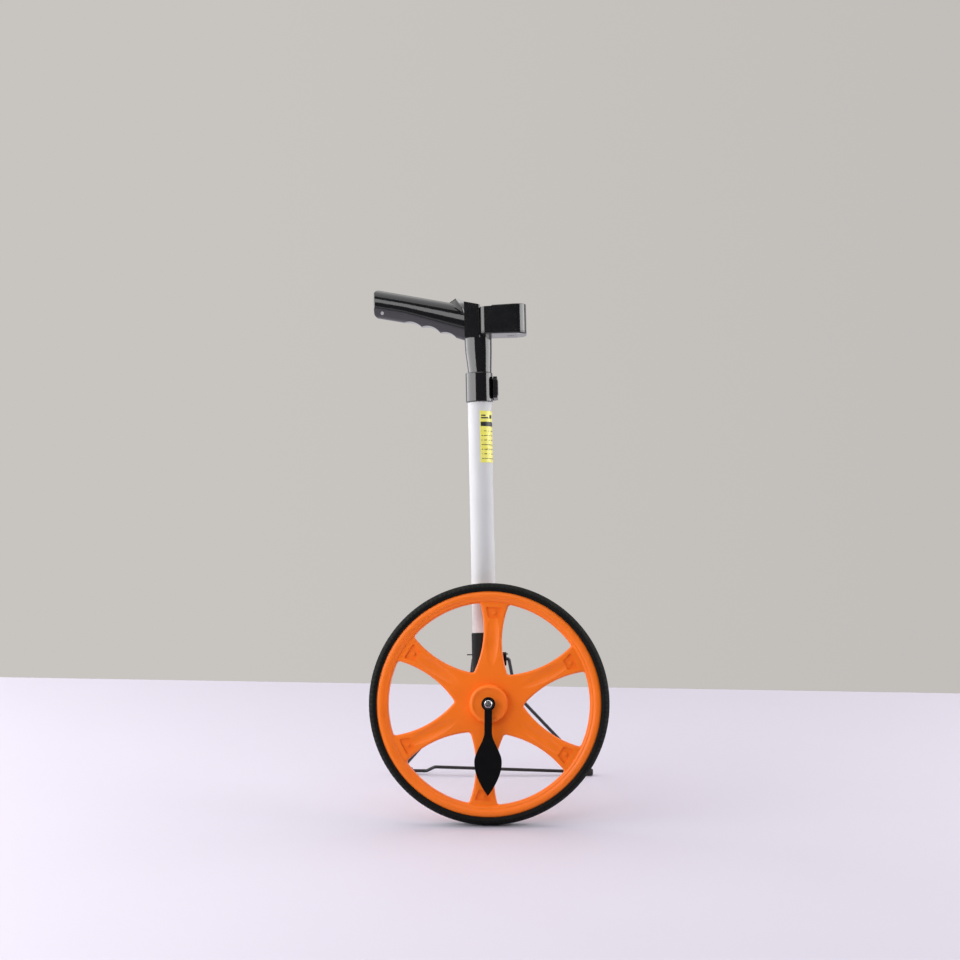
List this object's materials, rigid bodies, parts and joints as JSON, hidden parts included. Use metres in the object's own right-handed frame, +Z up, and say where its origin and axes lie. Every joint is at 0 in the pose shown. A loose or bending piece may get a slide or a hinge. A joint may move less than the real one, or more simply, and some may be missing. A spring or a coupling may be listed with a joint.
{
  "type": "measuring wheel",
  "caption": "Surveyor's measuring wheel with an orange spoked wheel, plumb pointer, telescopic tube, black pistol grip, digital counter and fold-out wire stand.",
  "frame": {"origin": "the point of the tyre's crown that touches the ground", "axes": "+X is the rolling direction, +Y runs from the wheel to the tube and stand behind it, +Z is up"},
  "size_m": [0.3198, 0.275, 0.6929],
  "materials": {
    "tyre": "moulded solid rubber, fine cross ribs, matt",
    "wheel_orange": "moulded orange ABS, satin gloss",
    "bearing_steel": "ground bearing steel",
    "seal_rubber": "moulded nitrile rubber",
    "magnet": "bonded ferrite ring",
    "axle_steel": "plated turned steel",
    "pointer_black": "black moulded plastic, smooth",
    "spring_steel": "blackened spring steel",
    "bracket_black": "black glass-filled nylon, fine texture",
    "screw_steel": "zinc-plated steel",
    "circuit_green": "solder-masked board",
    "wire_black": "black coated spring wire",
    "foot_rubber": "moulded black rubber",
    "tube_aluminium": "satin anodised",
    "label_yellow": "printed yellow film",
    "nylon": "natural nylon",
    "gloss_black": "glossy black ABS",
    "lever_black": "glossy black nylon",
    "base_black": "black ABS, satin",
    "lens_clear": "clear acrylic window",
    "lcd_grey": "reflective LCD panel",
    "cell_wrap": "plain shrink-wrapped cell",
    "contact_plate": "nickel-plated strip",
    "button_red": "moulded silicone key",
    "button_grey": "moulded silicone key"
  },
  "bodies": {
    "frame": {"axle": "axle_steel", "axle_spacers": "axle_steel", "axle_washer": "axle_steel", "axle_nut": "axle_steel", "bearing_inner_rings": "bearing_steel", "pointer_clip": "spring_steel", "bracket": "bracket_black", "bracket_screws": "screw_steel", "cross_pin": "spring_steel", "sensor_case": "bracket_black", "sensor_board": "circuit_green", "outer_tube": "tube_aluminium", "tube_label": "label_yellow", "guide_bush": "nylon", "collar": "gloss_black", "clamp_bolt": "screw_steel", "clamp_nut": "screw_steel", "lever_pin": "screw_steel"},
    "wheel": {"tyre": "tyre", "wheel_body": "wheel_orange", "hub_cap": "wheel_orange", "bearing_outer_rings": "bearing_steel", "bearing_balls": "bearing_steel", "bearing_cages": "nylon", "bearing_seals": "seal_rubber", "magnet_ring": "magnet"},
    "pointer": {"pointer": "pointer_black"},
    "stand": {"stand_wire": "wire_black", "stand_feet": "foot_rubber"},
    "lever": {"clamp_lever": "lever_black"},
    "handle": {"inner_tube": "tube_aluminium", "tube_plug": "nylon", "handle_shell_front": "gloss_black", "handle_shell_back": "gloss_black", "handle_screws": "screw_steel", "display_housing": "gloss_black", "display_base": "base_black", "display_lens": "lens_clear", "lcd_panel": "lcd_grey", "circuit_board": "circuit_green", "housing_screws": "screw_steel", "battery_cover": "base_black", "batteries": "cell_wrap", "battery_contacts": "contact_plate"},
    "power_key": {"power_button": "button_red"},
    "unit_key": {"unit_button": "button_grey"},
    "reset_key": {"reset_button": "button_grey"}
  },
  "joints": [
    {"name": "wheel_spin", "type": "hinge", "parent": "frame", "child": "wheel", "pos_m": [0, 0.02935, 0.15607], "axis": [0, 0.9781, -0.2079], "continuous": true},
    {"name": "pointer_swing", "type": "hinge", "parent": "frame", "child": "pointer", "pos_m": [0, 0.00587, 0.16106], "axis": [0, 0.9781, -0.2079], "continuous": true},
    {"name": "stand_fold", "type": "hinge", "parent": "frame", "child": "stand", "pos_m": [0, 0.10614, 0.19991], "axis": [1, 0, 0], "range_deg": [0, 131]},
    {"name": "lever_flip", "type": "hinge", "parent": "frame", "child": "lever", "pos_m": [-0.00045, 0.18247, 0.55902], "axis": [-0.0262, 0.2078, 0.9778], "range_deg": [0, 100]},
    {"name": "handle_extend", "type": "slide", "parent": "frame", "child": "handle", "axis": [-0.0262, 0.2078, 0.9778], "range_m": [0, 0.28]},
    {"name": "power_press", "type": "slide", "parent": "handle", "child": "power_key", "axis": [0.1045, -0.2068, -0.9728], "range_m": [0, 0.0008], "stiffness_N_per_m": 1200, "springref_m": -0.0004},
    {"name": "unit_press", "type": "slide", "parent": "handle", "child": "unit_key", "axis": [0.1045, -0.2068, -0.9728], "range_m": [0, 0.0008], "stiffness_N_per_m": 1200, "springref_m": -0.0004},
    {"name": "reset_press", "type": "slide", "parent": "handle", "child": "reset_key", "axis": [0.1045, -0.2068, -0.9728], "range_m": [0, 0.0008], "stiffness_N_per_m": 1200, "springref_m": -0.0004}
  ]
}
